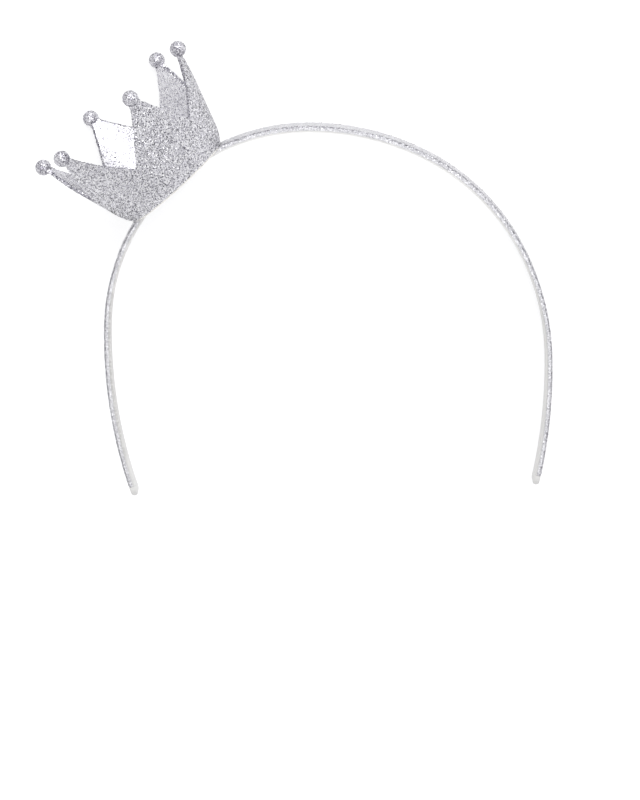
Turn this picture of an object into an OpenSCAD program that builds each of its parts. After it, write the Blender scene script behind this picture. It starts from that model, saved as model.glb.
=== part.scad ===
// A slim headband with a small six-point crown standing on it, left of the top.
// The band is an open arch of arcs. It lies on its side as it rests: the arch is near
// level with its front up, the right arm's back edge and the crown's lowest ball touch
// the surface, and +Y runs from the tips to the top of the arch.

/* [Band] */
// Width across the two arms, outside
band_span = 162; // [140:1:190]
// Width of the covered strip, front to back
band_w = 10; // [7:0.5:14]
// Thickness of the strip inside the cover
core_t = 1.8; // [1.4:0.1:3]
// Rounding of the strip's long edges
core_edge_r = 0.4; // [0.2:0.1:0.6]
// Length of each bare tip
tip_len = 4; // [3.5:0.5:8]
// Rounding of a tip's corners, seen on its broad face
tip_corner_r = 2.6; // [1:0.2:3]
// Rounding of a tip's long edges
tip_edge_r = 0.6; // [0.3:0.1:0.8]

/* [Glitter cover] */
// Thickness of the cover
cover_t = 0.5; // [0.4:0.05:0.8]
// Edge of the strip that the cover's folds leave bare at the inside
cover_bare = 0.9; // [0.3:0.1:1.2]
// Rounding of the cover's outer edges
cover_edge_r = 0.6; // [0.3:0.1:0.8]
// Clearance between the cover and the strip
cover_gap = 0.1; // [0.05:0.05:0.2]

/* [Crown] */
// Turn along the arch from its top to the crown's middle, in degrees
crown_turn = 41.9; // [30:0.5:43]
// Turn of the crown about its own axis, in degrees
crown_spin = 20.75; // [0:0.25:59]
// Number of points
point_count = 6; // [5:1:8]
// Diameter of the open base
base_d = 41; // [34:0.5:44]
// Height of the rounded-in foot
foot_h = 6.6; // [4:0.2:9]
// Diameter at the top of the foot
foot_d = 48.4; // [46:0.2:54]
// Height from the base to the valleys between the points
valley_h = 15.5; // [10:0.1:18]
// Height from the base to the centres of the balls
ball_h = 36; // [30:0.5:44]
// Diameter of the circle through the ball centres
ring_d = 67; // [60:0.5:76]
// Diameter of a ball
ball_d = 5.6; // [4.6:0.1:7]
// Width of the neck under a ball
neck_w = 3.8; // [2.4:0.1:4.4]
// Thickness of the wall
crown_wall = 1.1; // [0.8:0.1:1.6]
// Depth of the two notches with which the base sits over the band
seat_depth = 0.3; // [0.2:0.1:0.8]
// Clearance between the crown and the cover that it stands on
seat_gap = 0.15; // [0.1:0.05:0.3]

/* [Hidden] */
$fn = 72;

// Each arm is a chain of arcs from the top of the arch to its tip.
// Columns: turn of the arc in degrees, radius as a share of half the span
LEFT_ARCS = [[59, 0.909], [29, 0.933], [20.95, 2.21]];
RIGHT_ARCS = [[26, 1.168], [33, 0.994], [29, 1.117], [14.5, 2.37]];

// Half of a point, from the valley beside it up to its ball.
// Columns: height as a share of valley to ball centre, half width as a share of the widest
POINT_ROWS = [[0, 1], [0.52, 0.48], [0.84, 0.19]];

// Where a tip's sections stand: distance from its end as a share of its corner rounding
TIP_SHARES = [1, 0.65, 0.35, 0.15, 0.05, 0.01];

// Sections in a length of strip as long as the span, and pieces in a rounded edge or foot
sections_per_span = 36;
corner_steps = 2;
foot_steps = 6;

half_span = band_span / 2;
station_step = band_span / sections_per_span;
band_t = cover_t + cover_gap + core_t;
core_w = band_w - 2 * (cover_t + cover_gap);
fold_depth = band_t - cover_bare;
base_r = base_d / 2;
foot_r = foot_d / 2;
ring_r = ring_d / 2;
ball_r = ball_d / 2;
pitch_turn = 360 / point_count;

// Arcs: turn is measured from the top of the arch, and out_at points outwards there
function out_at(turn) = [sin(turn), cos(turn)];
function arc_r(rows, i) = rows[i][1] * half_span;
function turn_before(rows, i) = i == 0 ? 0 : turn_before(rows, i - 1) + rows[i - 1][0];
function arc_centre(rows, i) =
    i == 0
        ? [0, arc_r(LEFT_ARCS, 0) - arc_r(rows, 0)]
        : arc_centre(rows, i - 1)
            + (arc_r(rows, i - 1) - arc_r(rows, i)) * out_at(turn_before(rows, i));
function turn_of(length, r) = length / r * 180 / PI;

// A station is a place on the strip's outer line: [x, y, turn]
function station(rows, i, part) =
    let (turn = turn_before(rows, i) + part, p = arc_centre(rows, i) + arc_r(rows, i) * out_at(turn))
    [p[0], p[1], turn];
function near_end(rows, distance) =
    let (i = len(rows) - 1)
    station(rows, i, rows[i][0] - turn_of(distance, arc_r(rows, i)));
function arc_stations(rows, i, cut) =
    let (
        r = arc_r(rows, i),
        turn = rows[i][0] - (i == len(rows) - 1 ? turn_of(cut, r) : 0),
        steps = ceil(turn / turn_of(station_step, r))
    )
    [for (k = [1:steps]) station(rows, i, turn * k / steps)];
function arm_stations(rows, cut) =
    [for (i = [0:len(rows) - 1]) for (s = arc_stations(rows, i, cut)) s];

// A section is a loop of [distance out from the outer line, place across the width]
function corner(out, across, r, from) =
    [for (k = [0:corner_steps])
        let (a = from + 90 * k / corner_steps)
        [out + r * cos(a), across + r * sin(a)]];
function strip_section(high, low, width, r) =
    let (across = width / 2 - r)
    concat(
        corner(high - r, across, r, 0), corner(low + r, across, r, 90),
        corner(low + r, -across, r, 180), corner(high - r, -across, r, 270)
    );
function round_in(distance, r) = distance < r ? r - sqrt(r * r - (r - distance) * (r - distance)) : 0;
function tip_section(distance) =
    let (
        half = band_t / 2 - round_in(distance, band_t / 2),
        width = band_w - 2 * round_in(distance, tip_corner_r),
        middle = -band_t / 2
    )
    strip_section(middle + half, middle - half, width, min(tip_edge_r, 0.9 * half));
core_section = strip_section(core_t - band_t, -band_t, core_w, core_edge_r);
core_cap = [for (k = [1:len(core_section) - 2]) [0, k, k + 1]];
cover_section =
    let (w = band_w / 2, inner_w = w - cover_t, r = cover_edge_r)
    concat(
        [[-fold_depth, -w]], corner(-r, r - w, r, 270), corner(-r, w - r, r, 0), [[-fold_depth, w]],
        [[-fold_depth, inner_w], [-cover_t, inner_w], [-cover_t, -inner_w], [-fold_depth, -inner_w]]
    );
// Triangles of the cover's end face, from its section's last corners round its two folds
cover_cap =
    let (n = corner_steps, high = 2 * n + 3, high_in = high + 1, web = high + 2, low_in = high + 4)
    concat(
        [[low_in, 0, 1], [low_in, 1, web + 1]],
        [for (k = [1:n + 1]) [web + 1, k, k + 1]],
        [[web + 1, n + 2, web]],
        [for (k = [n + 2:2 * n + 1]) [web, k, k + 1]],
        [[web, 2 * n + 2, high_in], [high_in, 2 * n + 2, high]]
    );

// A ring is [station, section]; a strip's rings run from the left tip to the right tip
function core_arm(rows) =
    concat(
        [for (s = arm_stations(rows, tip_len - cover_gap)) [s, core_section]],
        [[near_end(rows, tip_len - 2 * cover_gap), tip_section(tip_len)]],
        [for (share = TIP_SHARES)
            [near_end(rows, share * tip_corner_r), tip_section(share * tip_corner_r)]]
    );
function cover_arm(rows) = [for (s = arm_stations(rows, tip_len)) [s, cover_section]];
function flip(ring) = [[-ring[0][0], ring[0][1], -ring[0][2]], ring[1]];
function both_arms(left, right) =
    concat(
        [for (k = [len(left) - 1:-1:0]) flip(left[k])],
        [[station(RIGHT_ARCS, 0, 0), right[0][1]]],
        right
    );

// Places in the arch's own plane: x to the right, y to the top, z to the front, with the
// centre of the left arm's first arc, which carries the crown, at the origin
seat_r = arc_r(LEFT_ARCS, 0);
seat_h = sqrt(seat_r * seat_r - base_r * base_r) - seat_depth;
function ball_at(k) =
    let (a = crown_spin + k * pitch_turn, across = ring_r * sin(a), up = seat_h + ball_h)
    [across * cos(crown_turn) - up * sin(crown_turn),
     across * sin(crown_turn) + up * cos(crown_turn),
     ring_r * cos(a)];
balls = [for (k = [0:point_count - 1]) ball_at(k)];
left_line = [for (s = arm_stations(LEFT_ARCS, 0)) [-s[0], s[1]]];
right_line = [for (s = arm_stations(RIGHT_ARCS, 0)) [s[0], s[1]]];

// Lying down: the arch turns about +Y until a ball and the right arm's back edge are level
edge_r = cover_edge_r;
edge_z = band_w / 2 - edge_r;
arm_x = max([for (p = right_line) p[0]]) - edge_r;
function tilt_on(ball) =
    let (reach = arm_x - ball[0], drop = -edge_z - ball[2])
    atan2(drop, reach) + asin((ball_r - edge_r) / norm([reach, drop]));
rest_tilt = max([for (b = balls) tilt_on(b)]);
rest_z = arm_x * sin(rest_tilt) + edge_z * cos(rest_tilt) + edge_r;
function laid_x(x, z) = x * cos(rest_tilt) + z * sin(rest_tilt);
x_low = min(
    min([for (b = balls) laid_x(b[0], b[2])]) - ball_r,
    min([for (p = left_line) laid_x(p[0] + edge_r, -edge_z)]) - edge_r
);
x_high = laid_x(arm_x, edge_z) + edge_r;
y_low = min([for (rows = [LEFT_ARCS, RIGHT_ARCS])
    let (s = near_end(rows, 0)) s[1] - band_t / 2 * out_at(s[2])[1]]);
y_high = max([for (b = balls) b[1]]) + ball_r;

// Crown's wall: it leans out from the foot to the balls, and the foot is an arc that runs
// into it without a kink
flare = atan2(ring_r - foot_r, ball_h - foot_h);
foot_bend = atan2(foot_r - base_r, foot_h) - flare;
foot_arc_r = norm([foot_r - base_r, foot_h]) / (2 * sin(foot_bend));
foot_centre = [foot_r - foot_arc_r * cos(flare), foot_h + foot_arc_r * sin(flare)];
function foot_arc(r) =
    [for (k = [0:foot_steps])
        let (a = -flare - 2 * foot_bend * (1 - k / foot_steps))
        foot_centre + r * [cos(a), sin(a)]];
function wall_r(h) = foot_r + (h - foot_h) * tan(flare);

// Gap between two points at height h, as half its width
widest = wall_r(valley_h) * sin(pitch_turn / 2);
function row_h(row) = valley_h + row[0] * (ball_h - valley_h);
function gap_half(h, point_half) =
    wall_r(h) * sin(pitch_turn / 2 - asin(point_half / wall_r(h)));
gap_side = concat(
    [for (row = POINT_ROWS) [gap_half(row_h(row), row[1] * widest), row_h(row)]],
    [for (h = [ball_h, ball_h + ball_d]) [gap_half(h, neck_w / 2), h]]
);

module laid_down() {
    translate([-(x_low + x_high) / 2, -(y_low + y_high) / 2, rest_z])
        rotate([0, rest_tilt, 0])
            children();
}

module strip(rings, cap) {
    count = len(rings[0][1]);
    last = len(rings) - 1;
    points = [for (ring = rings) for (q = ring[1])
        let (out = q[0] * out_at(ring[0][2]))
        [ring[0][0] + out[0], ring[0][1] + out[1], q[1]]];
    sides = [for (i = [0:last - 1]) for (j = [0:count - 1])
        let (a = i * count + j, b = i * count + (j + 1) % count)
        each [[a, a + count, b + count], [a, b + count, b]]];
    far_cap = [for (t = cap) [for (k = [2:-1:0]) last * count + t[k]]];
    polyhedron(points, concat(sides, cap, far_cap), convexity = 6);
}

module band_core() {
    color("whitesmoke")
        laid_down()
            strip(both_arms(core_arm(LEFT_ARCS), core_arm(RIGHT_ARCS)), core_cap);
}

module glitter_cover() {
    color("silver")
        laid_down()
            strip(both_arms(cover_arm(LEFT_ARCS), cover_arm(RIGHT_ARCS)), cover_cap);
}

module crown_wall_ring() {
    slant_t = crown_wall / cos(flare);
    rotate_extrude()
        polygon(concat(
            foot_arc(foot_arc_r),
            [[wall_r(ball_h), ball_h], [wall_r(ball_h) - slant_t, ball_h]],
            [for (k = [foot_steps:-1:0]) foot_arc(foot_arc_r - crown_wall)[k]]
        ));
}

module gap_between_points() {
    translate([0, -base_r / 2, 0])
        rotate([90, 0, 0])
            linear_extrude(ring_r)
                polygon(concat(
                    gap_side,
                    [for (k = [len(gap_side) - 1:-1:1]) [-gap_side[k][0], gap_side[k][1]]]
                ));
}

module crown() {
    color("lightgray") laid_down() difference() {
        rotate([0, 0, crown_turn]) translate([0, seat_h, 0]) rotate([-90, 0, 0]) {
            difference() {
                crown_wall_ring();
                for (k = [0:point_count - 1])
                    rotate([0, 0, crown_spin + (k + 0.5) * pitch_turn])
                        gap_between_points();
            }
            for (k = [0:point_count - 1])
                rotate([0, 0, crown_spin + k * pitch_turn])
                    translate([0, -ring_r, ball_h])
                        sphere(ball_r);
        }
        cylinder(r = seat_r + seat_gap, h = band_w + 2 * seat_gap, center = true);
    }
}

band_core();
glitter_cover();
crown();
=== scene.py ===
import math

import bpy
import numpy as np
from mathutils import Matrix, Vector
from mathutils.bvhtree import BVHTree


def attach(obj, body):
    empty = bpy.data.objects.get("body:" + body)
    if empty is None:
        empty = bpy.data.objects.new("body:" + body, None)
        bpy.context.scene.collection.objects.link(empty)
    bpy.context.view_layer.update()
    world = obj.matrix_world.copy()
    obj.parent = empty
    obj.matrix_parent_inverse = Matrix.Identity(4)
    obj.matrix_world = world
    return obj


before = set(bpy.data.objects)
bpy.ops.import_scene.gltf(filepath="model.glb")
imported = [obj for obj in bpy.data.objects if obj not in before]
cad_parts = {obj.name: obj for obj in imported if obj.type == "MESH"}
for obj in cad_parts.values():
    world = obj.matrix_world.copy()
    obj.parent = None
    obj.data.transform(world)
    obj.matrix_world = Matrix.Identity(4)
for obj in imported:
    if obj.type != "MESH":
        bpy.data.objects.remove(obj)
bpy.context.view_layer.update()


# Bare strip. One springy strip of off-white moulded plastic, bent into the arch. It shows as a
# thin line along the inside of the cover, on its inner face and at its two rounded tips.
# The second colour, the arms' duller one, is painted shade where less light falls on them.
strip_white = (0.87, 0.865, 0.85, 1)
strip_arm_shade = (0.63, 0.625, 0.615, 1)
strip_dusty = (0.50, 0.495, 0.485, 1)
lit_from_y = 0.035
arm_shade_from_y = -0.015
least_shade = -0.2
most_shade = 0.8
patchy_wear = 0.4
patches_per_m = 260
grain_height = 0.00003
dust_per_m = 1300
dust_from = 0.38
dust_to = 0.62
dusty_to_x = -0.03
clean_from_x = 0
tip_from_y = -0.066
tip_fade = 0.004

strip_mat = bpy.data.materials.new("satin_strip")
strip_mat.use_nodes = True
nodes = strip_mat.node_tree.nodes
links = strip_mat.node_tree.links
plastic = nodes["Principled BSDF"]
plastic.inputs["IOR"].default_value = 1.47
place = nodes.new("ShaderNodeTexCoord")
across = nodes.new("ShaderNodeSeparateXYZ")
patches = nodes.new("ShaderNodeTexNoise")
patches.inputs["Scale"].default_value = patches_per_m
patches.inputs["Detail"].default_value = 4
links.new(place.outputs["Object"], across.inputs["Vector"])
links.new(place.outputs["Object"], patches.inputs["Vector"])

# Painted light and shade: the top of the arch is painted whiter and the arms duller, as the light
# falls on them, with random patches mixed in
painted_arm_shade = nodes.new("ShaderNodeMapRange")
painted_arm_shade.inputs["From Min"].default_value = lit_from_y
painted_arm_shade.inputs["From Max"].default_value = arm_shade_from_y
painted_arm_shade.inputs["To Min"].default_value = least_shade
painted_arm_shade.inputs["To Max"].default_value = most_shade
patches_and_shade = nodes.new("ShaderNodeMath")
patches_and_shade.operation = "MULTIPLY_ADD"
patches_and_shade.use_clamp = True
patches_and_shade.inputs[1].default_value = patchy_wear
tint = nodes.new("ShaderNodeMix")
tint.data_type = "RGBA"
tint.inputs["A"].default_value = strip_white
links.new(across.outputs["Y"], painted_arm_shade.inputs["Value"])
links.new(patches.outputs["Fac"], patches_and_shade.inputs[0])
links.new(painted_arm_shade.outputs["Result"], patches_and_shade.inputs[2])
links.new(patches_and_shade.outputs["Value"], tint.inputs["Factor"])
links.new(tint.outputs["Result"], plastic.inputs["Base Color"])

# Stray glitter clings to the left arm as a fine mottle, which stops short of its tip
dust = nodes.new("ShaderNodeTexNoise")
dust.inputs["Scale"].default_value = dust_per_m
dust.inputs["Detail"].default_value = 1
dust_range = nodes.new("ShaderNodeMapRange")
dust_range.inputs["From Min"].default_value = dust_from
dust_range.inputs["From Max"].default_value = dust_to
past_arm = nodes.new("ShaderNodeMapRange")
past_arm.inputs["From Min"].default_value = dusty_to_x
past_arm.inputs["From Max"].default_value = clean_from_x
on_tip = nodes.new("ShaderNodeMapRange")
on_tip.inputs["From Min"].default_value = tip_from_y
on_tip.inputs["From Max"].default_value = tip_from_y - tip_fade
off_arm = nodes.new("ShaderNodeMath")
off_arm.operation = "MAXIMUM"
clean = nodes.new("ShaderNodeMath")
clean.operation = "MAXIMUM"
dusted = nodes.new("ShaderNodeMix")
dusted.data_type = "RGBA"
dusted.inputs["A"].default_value = strip_dusty
dusted.inputs["B"].default_value = strip_arm_shade
links.new(place.outputs["Object"], dust.inputs["Vector"])
links.new(dust.outputs["Fac"], dust_range.inputs["Value"])
links.new(across.outputs["X"], past_arm.inputs["Value"])
links.new(across.outputs["Y"], on_tip.inputs["Value"])
links.new(past_arm.outputs["Result"], off_arm.inputs[0])
links.new(on_tip.outputs["Result"], off_arm.inputs[1])
links.new(dust_range.outputs["Result"], clean.inputs[0])
links.new(off_arm.outputs["Value"], clean.inputs[1])
links.new(clean.outputs["Value"], dusted.inputs["Factor"])
links.new(dusted.outputs["Result"], tint.inputs["B"])

# The satin sheen and a faint unevenness follow the same random patches that mottle the colour
sheen = nodes.new("ShaderNodeMapRange")
sheen.inputs["To Min"].default_value = 0.34
sheen.inputs["To Max"].default_value = 0.52
grain = nodes.new("ShaderNodeBump")
grain.inputs["Strength"].default_value = 0.4
grain.inputs["Distance"].default_value = grain_height
links.new(patches.outputs["Fac"], sheen.inputs["Value"])
links.new(sheen.outputs["Result"], plastic.inputs["Roughness"])
links.new(patches.outputs["Fac"], grain.inputs["Height"])
links.new(grain.outputs["Normal"], plastic.inputs["Normal"])

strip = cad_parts["band_core"]
strip.data.materials.clear()
strip.data.materials.append(strip_mat)


# Glitter cover. A thin film packed with small silver flakes, folded over the strip's outer face
# and both long edges and glued down. Its flakes are finer and lie flatter than the crown's.
def glitter_group():
    """Colour, roughness and normal of a ground packed with flat flakes that lie at odd angles."""
    group = bpy.data.node_groups.new("packed_flakes", "ShaderNodeTree")
    for name, kind, value in (
        ("Flakes per Metre", "NodeSocketFloat", 2200.0),
        ("Tilt", "NodeSocketFloat", 0.5),
        ("Smoothest", "NodeSocketFloat", 0.2),
        ("Roughest", "NodeSocketFloat", 0.45),
        ("Dark", "NodeSocketColor", (0.2, 0.2, 0.22, 1)),
        ("Middle", "NodeSocketColor", (0.6, 0.6, 0.63, 1)),
        ("Bright", "NodeSocketColor", (0.95, 0.95, 0.98, 1)),
    ):
        socket = group.interface.new_socket(name, in_out="INPUT", socket_type=kind)
        socket.default_value = value
    for name, kind in (
        ("Color", "NodeSocketColor"),
        ("Roughness", "NodeSocketFloat"),
        ("Normal", "NodeSocketVector"),
    ):
        group.interface.new_socket(name, in_out="OUTPUT", socket_type=kind)
    nodes = group.nodes
    links = group.links
    given = nodes.new("NodeGroupInput")
    made = nodes.new("NodeGroupOutput")
    place = nodes.new("ShaderNodeTexCoord")
    flakes = nodes.new("ShaderNodeTexVoronoi")
    flakes.voronoi_dimensions = "3D"
    links.new(place.outputs["Object"], flakes.inputs["Vector"])
    links.new(given.outputs["Flakes per Metre"], flakes.inputs["Scale"])

    # Each flake leans its own way
    centred = nodes.new("ShaderNodeVectorMath")
    centred.operation = "SUBTRACT"
    centred.inputs[1].default_value = (0.5, 0.5, 0.5)
    lean = nodes.new("ShaderNodeVectorMath")
    lean.operation = "SCALE"
    surface = nodes.new("ShaderNodeNewGeometry")
    turned = nodes.new("ShaderNodeVectorMath")
    turned.operation = "ADD"
    unit = nodes.new("ShaderNodeVectorMath")
    unit.operation = "NORMALIZE"
    links.new(flakes.outputs["Color"], centred.inputs[0])
    links.new(centred.outputs["Vector"], lean.inputs[0])
    links.new(given.outputs["Tilt"], lean.inputs["Scale"])
    links.new(surface.outputs["Normal"], turned.inputs[0])
    links.new(lean.outputs["Vector"], turned.inputs[1])
    links.new(turned.outputs["Vector"], unit.inputs[0])
    links.new(unit.outputs["Vector"], made.inputs["Normal"])

    # Each flake has its own brightness, from dark through the middle tone to bright
    draws = nodes.new("ShaderNodeSeparateColor")
    low_half = nodes.new("ShaderNodeMapRange")
    low_half.inputs["From Max"].default_value = 0.5
    high_half = nodes.new("ShaderNodeMapRange")
    high_half.inputs["From Min"].default_value = 0.5
    lower = nodes.new("ShaderNodeMix")
    lower.data_type = "RGBA"
    upper = nodes.new("ShaderNodeMix")
    upper.data_type = "RGBA"
    links.new(flakes.outputs["Color"], draws.inputs["Color"])
    links.new(draws.outputs["Green"], low_half.inputs["Value"])
    links.new(draws.outputs["Green"], high_half.inputs["Value"])
    links.new(low_half.outputs["Result"], lower.inputs["Factor"])
    links.new(given.outputs["Dark"], lower.inputs["A"])
    links.new(given.outputs["Middle"], lower.inputs["B"])
    links.new(high_half.outputs["Result"], upper.inputs["Factor"])
    links.new(lower.outputs["Result"], upper.inputs["A"])
    links.new(given.outputs["Bright"], upper.inputs["B"])
    links.new(upper.outputs["Result"], made.inputs["Color"])

    # Each flake has its own gloss
    gloss = nodes.new("ShaderNodeMapRange")
    links.new(given.outputs["Smoothest"], gloss.inputs["To Min"])
    links.new(given.outputs["Roughest"], gloss.inputs["To Max"])
    links.new(draws.outputs["Blue"], gloss.inputs["Value"])
    links.new(gloss.outputs["Result"], made.inputs["Roughness"])
    return group


def ground_material(name, group, per_metre, gloss, dark, middle, bright, metallic):
    """Material of a surface packed with flakes, with the two nodes that a section adds to."""
    material = bpy.data.materials.new(name)
    material.use_nodes = True
    nodes = material.node_tree.nodes
    links = material.node_tree.links
    film = nodes["Principled BSDF"]
    film.inputs["Metallic"].default_value = metallic
    ground = nodes.new("ShaderNodeGroup")
    ground.node_tree = group
    ground.inputs["Flakes per Metre"].default_value = per_metre
    ground.inputs["Smoothest"].default_value = gloss[0]
    ground.inputs["Roughest"].default_value = gloss[1]
    ground.inputs["Dark"].default_value = dark
    ground.inputs["Middle"].default_value = middle
    ground.inputs["Bright"].default_value = bright
    links.new(ground.outputs["Color"], film.inputs["Base Color"])
    links.new(ground.outputs["Roughness"], film.inputs["Roughness"])
    links.new(ground.outputs["Normal"], film.inputs["Normal"])
    return material, film, ground


packed_flakes = glitter_group()
cover_mat, cover_film, cover_ground = ground_material(
    "cover_glitter",
    packed_flakes,
    per_metre=3200,
    gloss=(0.35, 0.6),
    dark=(0.48, 0.475, 0.505, 1),
    middle=(0.68, 0.675, 0.70, 1),
    bright=(0.90, 0.90, 0.92, 1),
    metallic=0.6,
)

# Painted shade: where the film folds round the strip's long edges it is painted darker, broken into
# dots by a pattern of real cracks. There it faces partly, but not fully, along the line from the
# back of the band to its front.
band_front = Vector((0.1715, 0, 0.9852))
fold_from = 0.2
fold_to = 0.97
fold_shade_tone = (0.46, 0.457, 0.478, 1)
cracks_per_m = 1000
crack_from = 0.40
crack_to = 0.58
least_dark = 0.35
nodes = cover_mat.node_tree.nodes
links = cover_mat.node_tree.links
surface = nodes.new("ShaderNodeNewGeometry")
facing = nodes.new("ShaderNodeVectorMath")
facing.operation = "DOT_PRODUCT"
facing.inputs[1].default_value = band_front
either_way = nodes.new("ShaderNodeMath")
either_way.operation = "ABSOLUTE"
fold_shade = nodes.new("ShaderNodeValToRGB")
fold_shade.color_ramp.interpolation = "CONSTANT"
fold_shade.color_ramp.elements[0].color = (1, 1, 1, 1)
fold_shade.color_ramp.elements[1].position = fold_to
fold_shade.color_ramp.elements[1].color = (1, 1, 1, 1)
fold_shade.color_ramp.elements.new(fold_from).color = fold_shade_tone
place = nodes.new("ShaderNodeTexCoord")
cracks = nodes.new("ShaderNodeTexNoise")
cracks.inputs["Scale"].default_value = cracks_per_m
cracks.inputs["Detail"].default_value = 1
depth = nodes.new("ShaderNodeMapRange")
depth.inputs["From Min"].default_value = crack_from
depth.inputs["From Max"].default_value = crack_to
depth.inputs["To Min"].default_value = least_dark
cracked_and_shaded = nodes.new("ShaderNodeMix")
cracked_and_shaded.data_type = "RGBA"
cracked_and_shaded.blend_type = "MULTIPLY"
links.new(place.outputs["Object"], cracks.inputs["Vector"])
links.new(cracks.outputs["Fac"], depth.inputs["Value"])
links.new(depth.outputs["Result"], cracked_and_shaded.inputs["Factor"])
links.new(surface.outputs["Normal"], facing.inputs[0])
links.new(facing.outputs["Value"], either_way.inputs[0])
links.new(either_way.outputs["Value"], fold_shade.inputs["Fac"])
links.new(cover_ground.outputs["Color"], cracked_and_shaded.inputs["A"])
links.new(fold_shade.outputs["Color"], cracked_and_shaded.inputs["B"])
links.new(cracked_and_shaded.outputs["Result"], cover_film.inputs["Base Color"])

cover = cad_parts["glitter_cover"]
cover.data.materials.clear()
cover.data.materials.append(cover_mat)


def outer_triangles(node, hidden_by, nearer_than):
    """Corners and normals of a node's triangles, without those that lie close to another node."""
    tree = BVHTree.FromPolygons(
        [v.co for v in hidden_by.data.vertices], [list(p.vertices) for p in hidden_by.data.polygons]
    )
    corners = []
    normals = []
    node.data.calc_loop_triangles()
    for tri in node.data.loop_triangles:
        points = [node.data.vertices[i].co for i in tri.vertices]
        middle = (points[0] + points[1] + points[2]) / 3
        if tree.find_nearest(middle, nearer_than)[0] is None:
            corners.append([tuple(c) for c in points])
            normals.append(tuple(tri.normal))
    return np.array(corners), np.array(normals)


def scatter_flakes(name, corners, normals, slots, pitch, width, lean, lift, seed, stays=None):
    """One mesh of six-sided flakes that lean at random, no more than one in each cube of side
    pitch. slots gives the material slot of each triangle's flakes, and stays says which of the
    middles given to it may have one."""
    sides = 6
    tries_per_cell = 4
    smallest = 0.8
    size_range = 0.4
    map_radius = 0.4
    along_x = 0.7
    rng = np.random.default_rng(seed)

    # Middles spread evenly over the triangles
    edge_a = corners[:, 1] - corners[:, 0]
    edge_b = corners[:, 2] - corners[:, 0]
    area = np.linalg.norm(np.cross(edge_a, edge_b), axis=1) / 2
    reach = np.cumsum(area) / area.sum()
    tries = int(tries_per_cell * area.sum() / pitch**2)
    pick = np.searchsorted(reach, (np.arange(tries) + rng.random(tries)) / tries)
    pick = np.minimum(pick, len(area) - 1)
    side = np.sqrt(rng.random(tries))
    along = rng.random(tries)
    centres = (
        corners[pick, 0]
        + (side * (1 - along))[:, None] * edge_a[pick]
        + (side * along)[:, None] * edge_b[pick]
    )
    cell = np.floor(centres / pitch).astype(np.int64)
    apart = np.sort(np.unique(cell, axis=0, return_index=True)[1])
    if stays is not None:
        apart = apart[stays(centres[apart])]
    pick, centres = pick[apart], centres[apart]
    count = len(pick)
    out = normals[pick]
    centres += out * (lift * rng.random(count))[:, None]

    # Each flake's face leans away from the surface by its own angle, and turns in its own plane
    helper = np.where(np.abs(out[:, :1]) < along_x, [[1.0, 0, 0]], [[0, 1.0, 0]])
    first = np.cross(out, helper)
    first /= np.linalg.norm(first, axis=1)[:, None]
    second = np.cross(out, first)
    tip = lean * np.sqrt(rng.random(count))
    way = 2 * np.pi * rng.random(count)
    face = (
        out * np.cos(tip)[:, None]
        + first * (np.sin(tip) * np.cos(way))[:, None]
        + second * (np.sin(tip) * np.sin(way))[:, None]
    )
    u = np.cross(face, second)
    u /= np.linalg.norm(u, axis=1)[:, None]
    v = np.cross(face, u)
    spin = 2 * np.pi * rng.random(count)
    radius = width / 2 * (smallest + size_range * rng.random(count))
    rim = []
    for k in range(sides):
        turn = spin + k * 2 * np.pi / sides
        rim.append(
            centres + (radius * np.cos(turn))[:, None] * u + (radius * np.sin(turn))[:, None] * v
        )
    points = np.stack(rim, axis=1)

    # No flake reaches below the surface that the part rests on
    above = points[:, :, 2].min(axis=1) > 0
    points = points[above]
    shown = len(points)
    mesh = bpy.data.meshes.new(name)
    mesh.vertices.add(shown * sides)
    mesh.vertices.foreach_set("co", points.reshape(-1).astype(np.float32))
    mesh.loops.add(shown * sides)
    mesh.loops.foreach_set("vertex_index", np.arange(shown * sides, dtype=np.int32))
    mesh.polygons.add(shown)
    mesh.polygons.foreach_set(
        "loop_start", np.arange(0, shown * sides, sides, dtype=np.int32)
    )
    mesh.polygons.foreach_set("material_index", slots[pick][above].astype(np.int32))

    # Each flake has a square of its own on a flat map
    per_row = math.ceil(math.sqrt(shown))
    square = np.arange(shown)
    turn = np.arange(sides) * 2 * np.pi / sides
    flat = np.empty((shown, sides, 2))
    flat[:, :, 0] = (square % per_row + 0.5)[:, None] + map_radius * np.cos(turn)
    flat[:, :, 1] = (square // per_row + 0.5)[:, None] + map_radius * np.sin(turn)
    layer = mesh.uv_layers.new(name="OFBake")
    layer.uv.foreach_set("vector", (flat / per_row).reshape(-1).astype(np.float32))
    mesh.update(calc_edges=True)
    mesh.validate()
    flakes = bpy.data.objects.new(name, mesh)
    bpy.context.scene.collection.objects.link(flakes)
    return flakes


def flake_material(name, dark, middle, bright, middle_at, gloss):
    """Mirror-like film, with one tone and one gloss for each loose flake."""
    material = bpy.data.materials.new(name)
    material.use_nodes = True
    nodes = material.node_tree.nodes
    links = material.node_tree.links
    film = nodes["Principled BSDF"]
    film.inputs["Metallic"].default_value = 1.0
    each = nodes.new("ShaderNodeNewGeometry")
    tones = nodes.new("ShaderNodeValToRGB")
    tones.color_ramp.elements[0].color = dark
    tones.color_ramp.elements[1].color = bright
    tones.color_ramp.elements.new(middle_at).color = middle
    gloss_range = nodes.new("ShaderNodeMapRange")
    gloss_range.inputs["To Min"].default_value = gloss[0]
    gloss_range.inputs["To Max"].default_value = gloss[1]
    links.new(each.outputs["Random Per Island"], tones.inputs["Fac"])
    links.new(each.outputs["Random Per Island"], gloss_range.inputs["Value"])
    links.new(tones.outputs["Color"], film.inputs["Base Color"])
    links.new(gloss_range.outputs["Result"], film.inputs["Roughness"])
    return material
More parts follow.
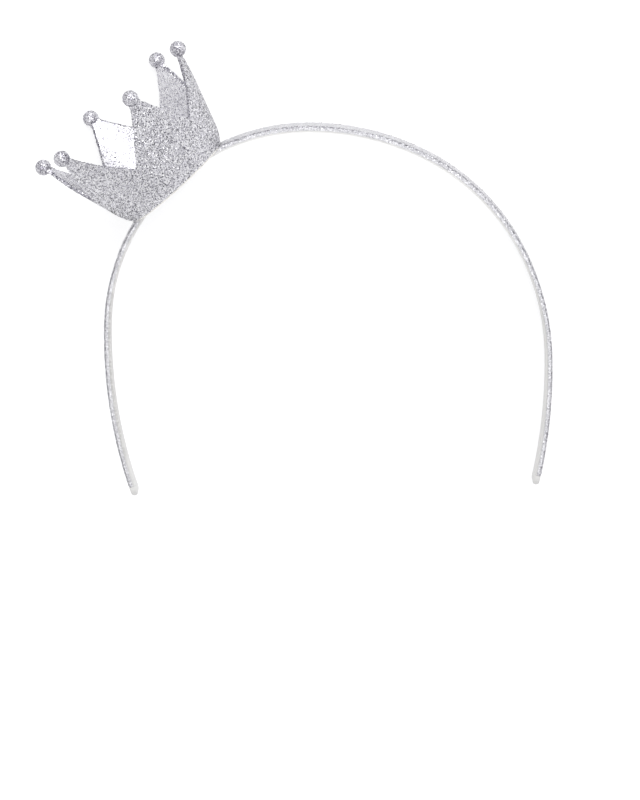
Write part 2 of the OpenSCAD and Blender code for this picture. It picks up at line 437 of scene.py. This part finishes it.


# The outer face and the two flat edges hold small flakes, and the folds hold larger ones. The
# face's flakes are painted lighter and the flat edges' darker, as painted light and shade on one
# film
cover_corners, cover_normals = outer_triangles(cover, strip, nearer_than=0.00015)
toward_front = np.abs(cover_normals @ np.array(band_front))
folded = (toward_front > fold_from) & (toward_front < fold_to)
on_flat_edge = toward_front >= fold_to
flat_flakes = scatter_flakes(
    "cover_flakes",
    cover_corners[~folded],
    cover_normals[~folded],
    on_flat_edge[~folded],
    pitch=0.00042,
    width=0.00030,
    lean=0.22,
    lift=0.00003,
    seed=11,
)
for name, dark, middle, bright in (
    ("lit_face_flakes", (0.72, 0.715, 0.73, 1), (0.84, 0.835, 0.85, 1), (0.96, 0.96, 0.97, 1)),
    ("edge_flakes", (0.42, 0.415, 0.44, 1), (0.60, 0.595, 0.615, 1), (0.80, 0.80, 0.82, 1)),
):
    flat_flakes.data.materials.append(
        flake_material(name, dark, middle, bright, middle_at=0.5, gloss=(0.35, 0.6))
    )
shaded_fold_flakes = scatter_flakes(
    "cover_fold_flakes",
    cover_corners[folded],
    cover_normals[folded],
    on_flat_edge[folded],
    pitch=0.00052,
    width=0.00046,
    lean=0.38,
    lift=0.00002,
    seed=17,
)
# The fold's flakes are painted darker on the whole than the face's: painted shade where the film
# turns round the edges.
shaded_fold_flakes.data.materials.append(
    flake_material(
        "shaded_fold_flakes",
        dark=(0.10, 0.095, 0.115, 1),
        middle=(0.50, 0.495, 0.525, 1),
        bright=(0.97, 0.97, 0.99, 1),
        middle_at=0.5,
        gloss=(0.3, 0.5),
    )
)
for flakes in (flat_flakes, shaded_fold_flakes):
    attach(flakes, "root")


# Crown. One flared wall of thin moulded plastic with a ball on each point, dipped in coarse
# silver glitter inside and out and glued to the band at its foot.
crown_foot = Vector((-0.04115, 0.03154, 0.02802))
crown_axis = Vector((-0.658, 0.744, 0.1146)).normalized()
ball_foot = 0.0332
cut_edge = 0.5
wall_from = 0.35
wall_to = 0.6
cut_tone = (0.60, 0.59, 0.63, 1)
# The inside's paler tone is painted light.
inner_lit_tone = (0.78, 0.77, 0.81, 1)
inner_light_share = 0.6
bare_rim = 0.0005
rim_fades_from = 0.8
rim_fades_to = 1.1
rim_tone = (0.84, 0.82, 0.77, 1)

crown_mat, crown_film, crown_ground = ground_material(
    "crown_glitter",
    packed_flakes,
    per_metre=2900,
    gloss=(0.15, 0.4),
    dark=(0.12, 0.11, 0.15, 1),
    middle=(0.72, 0.71, 0.76, 1),
    bright=(1.0, 1.0, 1.0, 1),
    metallic=0.7,
)

# Cut edges face across the line out from the crown's axis, and are coloured darker
nodes = crown_mat.node_tree.nodes
links = crown_mat.node_tree.links
place = nodes.new("ShaderNodeTexCoord")
from_foot = nodes.new("ShaderNodeVectorMath")
from_foot.operation = "SUBTRACT"
from_foot.inputs[1].default_value = crown_foot
up_axis = nodes.new("ShaderNodeVectorMath")
up_axis.operation = "PROJECT"
up_axis.inputs[1].default_value = crown_axis
outward = nodes.new("ShaderNodeVectorMath")
outward.operation = "SUBTRACT"
outward_unit = nodes.new("ShaderNodeVectorMath")
outward_unit.operation = "NORMALIZE"
surface = nodes.new("ShaderNodeNewGeometry")
facing = nodes.new("ShaderNodeVectorMath")
facing.operation = "DOT_PRODUCT"
either_way = nodes.new("ShaderNodeMath")
either_way.operation = "ABSOLUTE"
is_wall = nodes.new("ShaderNodeMapRange")
is_wall.inputs["From Min"].default_value = wall_from
is_wall.inputs["From Max"].default_value = wall_to
cut_color = nodes.new("ShaderNodeMix")
cut_color.data_type = "RGBA"
cut_color.blend_type = "MULTIPLY"
cut_color.inputs["Factor"].default_value = 1.0
cut_color.inputs["B"].default_value = cut_tone
edged_color = nodes.new("ShaderNodeMix")
edged_color.data_type = "RGBA"
links.new(place.outputs["Object"], from_foot.inputs[0])
links.new(from_foot.outputs["Vector"], up_axis.inputs[0])
links.new(from_foot.outputs["Vector"], outward.inputs[0])
links.new(up_axis.outputs["Vector"], outward.inputs[1])
links.new(outward.outputs["Vector"], outward_unit.inputs[0])
links.new(outward_unit.outputs["Vector"], facing.inputs[0])
links.new(surface.outputs["Normal"], facing.inputs[1])
links.new(facing.outputs["Value"], either_way.inputs[0])
links.new(either_way.outputs["Value"], is_wall.inputs["Value"])
links.new(is_wall.outputs["Result"], edged_color.inputs["Factor"])
links.new(crown_ground.outputs["Color"], cut_color.inputs["A"])
links.new(cut_color.outputs["Result"], edged_color.inputs["A"])
links.new(crown_ground.outputs["Color"], edged_color.inputs["B"])

# Painted light: the inside is painted paler, standing in for the light that falls on it, and the
# dip stops a hair short of the base
is_inside = nodes.new("ShaderNodeMapRange")
is_inside.inputs["From Min"].default_value = -wall_from
is_inside.inputs["From Max"].default_value = -wall_to
is_inside.inputs["To Max"].default_value = inner_light_share
inner_painted_light = nodes.new("ShaderNodeMix")
inner_painted_light.data_type = "RGBA"
inner_painted_light.inputs["B"].default_value = inner_lit_tone
height = nodes.new("ShaderNodeVectorMath")
height.operation = "DOT_PRODUCT"
height.inputs[1].default_value = crown_axis
is_dipped = nodes.new("ShaderNodeMapRange")
is_dipped.inputs["From Min"].default_value = rim_fades_from * bare_rim
is_dipped.inputs["From Max"].default_value = rim_fades_to * bare_rim
dipped_color = nodes.new("ShaderNodeMix")
dipped_color.data_type = "RGBA"
dipped_color.inputs["A"].default_value = rim_tone
links.new(facing.outputs["Value"], is_inside.inputs["Value"])
links.new(is_inside.outputs["Result"], inner_painted_light.inputs["Factor"])
links.new(edged_color.outputs["Result"], inner_painted_light.inputs["A"])
links.new(from_foot.outputs["Vector"], height.inputs[0])
links.new(height.outputs["Value"], is_dipped.inputs["Value"])
links.new(is_dipped.outputs["Result"], dipped_color.inputs["Factor"])
links.new(inner_painted_light.outputs["Result"], dipped_color.inputs["B"])
links.new(dipped_color.outputs["Result"], crown_film.inputs["Base Color"])

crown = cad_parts["crown"]
crown.data.materials.clear()
crown.data.materials.append(crown_mat)

# The wall's outside, its cut edges, the balls and its inside each hold their flakes differently
crown_corners, crown_normals = outer_triangles(crown, cover, nearer_than=0.00025)
middles = crown_corners.mean(axis=1) - np.array(crown_foot)
rise = middles @ np.array(crown_axis)
sideways = middles - rise[:, None] * np.array(crown_axis)
sideways /= np.linalg.norm(sideways, axis=1)[:, None]
faces_out = (sideways * crown_normals).sum(axis=1)
on_ball = rise > ball_foot
cut = ~on_ball & (np.abs(faces_out) <= cut_edge)
inside = ~on_ball & ~cut & (faces_out < 0)
outside = ~inside & ~cut


def above_rim(points):
    return (points - np.array(crown_foot)) @ np.array(crown_axis) > bare_rim


outer_flakes = scatter_flakes(
    "crown_outer_flakes",
    crown_corners[outside],
    crown_normals[outside],
    on_ball[outside],
    pitch=0.00040,
    width=0.00042,
    lean=0.32,
    lift=0.00006,
    seed=23,
    stays=above_rim,
)
# The balls' flakes are painted darker than the wall's, which dims their highlights: painted shade.
for name, dark, middle, bright in (
    ("wall_flakes", (0.01, 0.01, 0.02, 1), (0.73, 0.72, 0.775, 1), (1.0, 1.0, 1.0, 1)),
    ("shaded_ball_flakes", (0.12, 0.11, 0.14, 1), (0.64, 0.63, 0.68, 1), (0.97, 0.97, 0.99, 1)),
):
    outer_flakes.data.materials.append(
        flake_material(name, dark, middle, bright, middle_at=0.5, gloss=(0.1, 0.38))
    )
edge_flakes = scatter_flakes(
    "crown_edge_flakes",
    crown_corners[cut],
    crown_normals[cut],
    on_ball[cut],
    pitch=0.00055,
    width=0.00052,
    lean=0.50,
    lift=0.00006,
    seed=31,
    stays=above_rim,
)
edge_flakes.data.materials.append(
    flake_material(
        "edge_beads",
        dark=(0.04, 0.04, 0.06, 1),
        middle=(0.42, 0.41, 0.46, 1),
        bright=(1.0, 1.0, 1.0, 1),
        middle_at=0.5,
        gloss=(0.1, 0.38),
    )
)
lit_inner_flakes = scatter_flakes(
    "crown_inner_flakes",
    crown_corners[inside],
    crown_normals[inside],
    on_ball[inside],
    pitch=0.00046,
    width=0.00042,
    lean=0.16,
    lift=0.00004,
    seed=29,
    stays=above_rim,
)
# The inside's flakes are painted paler than the outside's: painted light.
lit_inner_flakes.data.materials.append(
    flake_material(
        "lit_inner_flakes",
        dark=(0.12, 0.11, 0.17, 1),
        middle=(0.77, 0.76, 0.81, 1),
        bright=(1.0, 1.0, 1.0, 1),
        middle_at=0.3,
        gloss=(0.15, 0.4),
    )
)
for flakes in (outer_flakes, edge_flakes, lit_inner_flakes):
    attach(flakes, "root")


# Studio. A pale floor with a glow of its own, soft lights, and the camera at the photograph's
# angle to the arch.
floor_half = 3.0
floor_mesh = bpy.data.meshes.new("floor")
floor_mesh.from_pydata(
    [
        (-floor_half, -floor_half, 0),
        (floor_half, -floor_half, 0),
        (floor_half, floor_half, 0),
        (-floor_half, floor_half, 0),
    ],
    [],
    [(0, 1, 2, 3)],
)
floor = bpy.data.objects.new("floor", floor_mesh)
bpy.context.scene.collection.objects.link(floor)
floor_mat = bpy.data.materials.new("pale_floor")
floor_mat.use_nodes = True
top = floor_mat.node_tree.nodes["Principled BSDF"]
top.inputs["Base Color"].default_value = (0.42, 0.42, 0.425, 1)
top.inputs["Roughness"].default_value = 0.9
top.inputs["Emission Color"].default_value = (1, 1, 1, 1)
top.inputs["Emission Strength"].default_value = 0.64
floor_mesh.materials.append(floor_mat)

# The room is brightest low down on the side of the tips, and plain white where it is seen
dim_way = (0.05, 0.40, 0.90)
room_bright = (0.95, 0.95, 0.955, 1)
room_dim = (0.74, 0.74, 0.75, 1)
world = bpy.data.worlds.new("studio")
world.use_nodes = True
nodes = world.node_tree.nodes
links = world.node_tree.links
around = nodes.new("ShaderNodeTexCoord")
toward_dim = nodes.new("ShaderNodeVectorMath")
toward_dim.operation = "DOT_PRODUCT"
toward_dim.inputs[1].default_value = dim_way
fade = nodes.new("ShaderNodeValToRGB")
fade.color_ramp.elements[0].position = 0.0
fade.color_ramp.elements[0].color = room_bright
fade.color_ramp.elements[1].position = 0.45
fade.color_ramp.elements[1].color = room_dim
backdrop = nodes.new("ShaderNodeBackground")
backdrop.inputs["Color"].default_value = (1.0, 1.0, 1.0, 1)
seen = nodes.new("ShaderNodeLightPath")
either = nodes.new("ShaderNodeMixShader")
links.new(around.outputs["Generated"], toward_dim.inputs[0])
links.new(toward_dim.outputs["Value"], fade.inputs["Fac"])
links.new(fade.outputs["Color"], nodes["Background"].inputs["Color"])
links.new(seen.outputs["Is Camera Ray"], either.inputs["Fac"])
links.new(nodes["Background"].outputs["Background"], either.inputs[1])
links.new(backdrop.outputs["Background"], either.inputs[2])
links.new(either.outputs["Shader"], nodes["World Output"].inputs["Surface"])
bpy.context.scene.world = world

# The arch lies leaning about +Y, and the picture looks down on it from a little above its top
arch_lean = math.radians(9.877)
view_rise = math.radians(12.2)
aim = Vector((0.00917, -0.04828, 0.01926))
view_distance = 1.4
view_turn = Matrix.Rotation(arch_lean, 4, "Y") @ Matrix.Rotation(-view_rise, 4, "X")


def soft_light(name, right, up, back, distance, size, power):
    """A square soft box that faces the aim. It lies the given way right, up and back of it, as
    the picture sees it."""
    lamp = bpy.data.lights.new(name, "AREA")
    lamp.shape = "SQUARE"
    lamp.size = size
    lamp.energy = power
    box = bpy.data.objects.new(name, lamp)
    bpy.context.scene.collection.objects.link(box)
    toward = (view_turn.to_3x3() @ Vector((right, up, back))).normalized()
    box.location = aim + toward * distance
    box.rotation_euler = toward.to_track_quat("Z", "Y").to_euler()


soft_light("key_box", right=0.12, up=0.53, back=0.84, distance=2.6, size=1.95, power=30.0)
soft_light("front_box", right=0.06, up=-0.03, back=1.0, distance=2.2, size=0.8, power=7.5)

camera_data = bpy.data.cameras.new("camera")
camera_data.sensor_fit = "HORIZONTAL"
camera_data.sensor_width = 36
camera_data.lens = 216.56
camera_data.clip_start = 0.01
camera = bpy.data.objects.new("camera", camera_data)
bpy.context.scene.collection.objects.link(camera)
camera.matrix_world = (
    Matrix.Translation(aim) @ view_turn @ Matrix.Translation((0, 0, view_distance))
)
bpy.context.scene.camera = camera
bpy.context.scene.view_settings.view_transform = "Standard"
